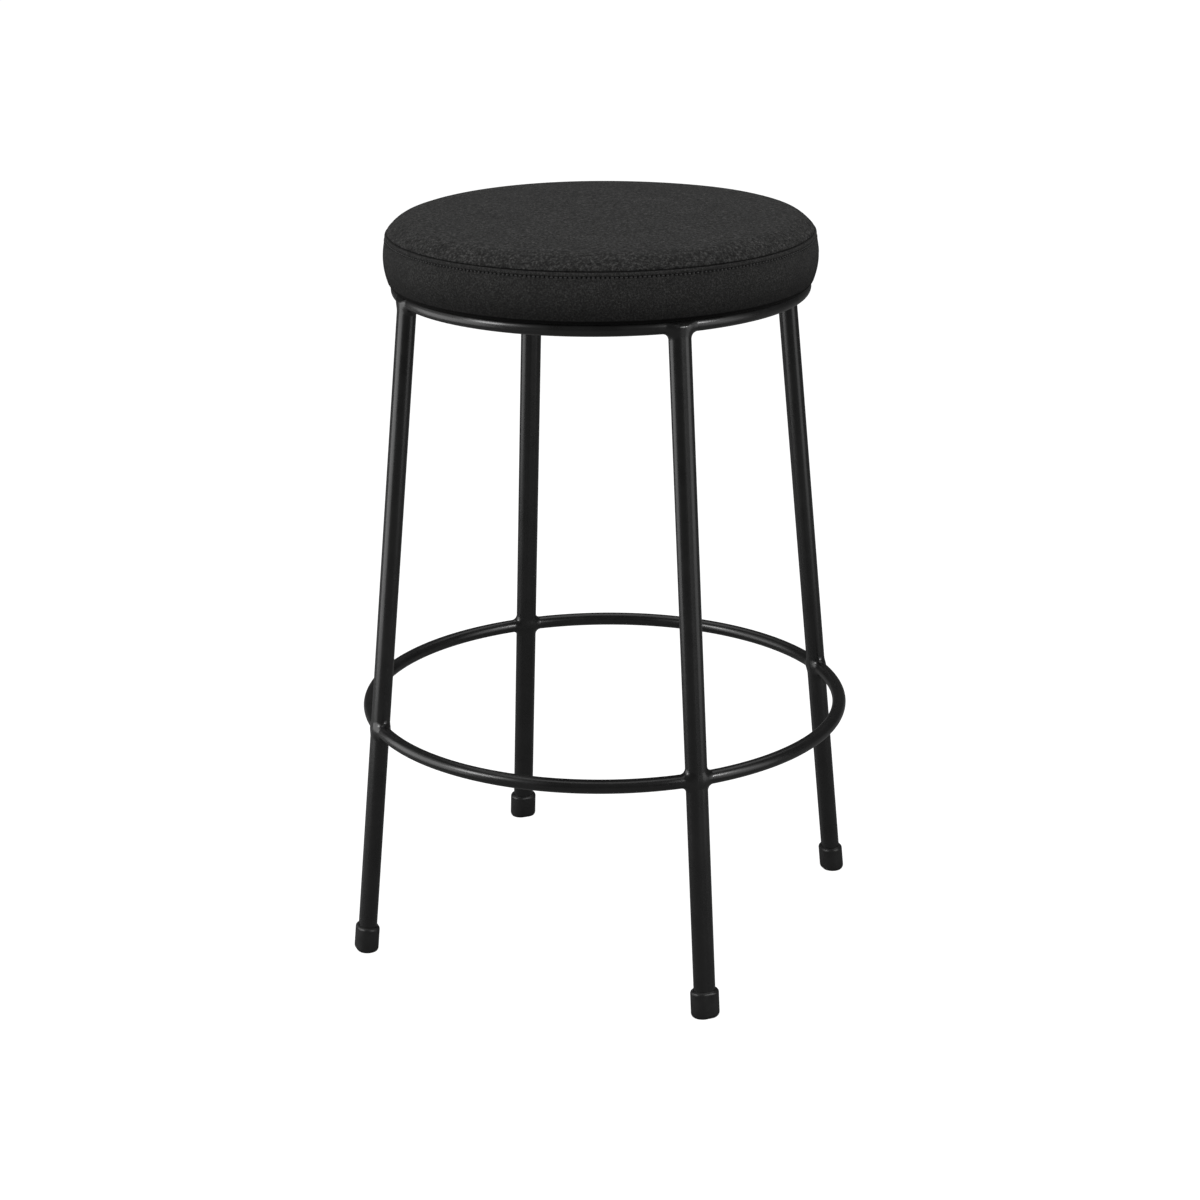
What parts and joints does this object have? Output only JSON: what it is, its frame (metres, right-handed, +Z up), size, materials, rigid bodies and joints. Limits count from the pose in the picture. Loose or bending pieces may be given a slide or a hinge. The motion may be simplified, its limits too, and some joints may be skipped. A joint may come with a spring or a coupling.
{
  "type": "bar stool with footrest",
  "caption": "Round upholstered bar stool on leaning oval-tube steel legs, with a seat ring, a welded ring footrest and plastic foot caps.",
  "frame": {"origin": "centre of the stool's footprint on the floor, below the middle of the seat", "axes": "+Z up, the front towards -Y, the legs on the diagonals"},
  "size_m": [0.4348, 0.4348, 0.653],
  "materials": {
    "frame_paint": "satin black powder coat",
    "cap_plastic": "moulded black, slightly satin",
    "cover_cloth": "fine plain weave, charcoal",
    "dust_cloth": "black non-woven sheet",
    "foam": "cut foam, open cells",
    "plywood": "raw birch plywood",
    "fastener_black": "black oxide screws",
    "fastener_zinc": "zinc plated"
  },
  "bodies": {
    "root": {"seat_ring": "frame_paint", "leg_front_left": "frame_paint", "leg_front_right": "frame_paint", "leg_back_left": "frame_paint", "leg_back_right": "frame_paint", "footrest_front": "frame_paint", "footrest_right": "frame_paint", "footrest_back": "frame_paint", "footrest_left": "frame_paint", "leg_top_welds": "frame_paint", "footrest_welds": "frame_paint", "seat_tab_front": "frame_paint", "seat_tab_right": "frame_paint", "seat_tab_back": "frame_paint", "seat_tab_left": "frame_paint", "seat_tab_welds": "frame_paint", "foot_cap_front_left": "cap_plastic", "foot_cap_front_right": "cap_plastic", "foot_cap_back_left": "cap_plastic", "foot_cap_back_right": "cap_plastic", "seat_board": "plywood", "tee_nuts": "fastener_zinc", "foam_pad": "foam", "cover_top_panel": "cover_cloth", "cover_side_band": "cover_cloth", "cover_staples": "fastener_zinc", "dust_cover": "dust_cloth", "dust_cover_staples": "fastener_zinc", "seat_screws": "fastener_black", "seat_washers": "fastener_black"}
  },
  "joints": []
}
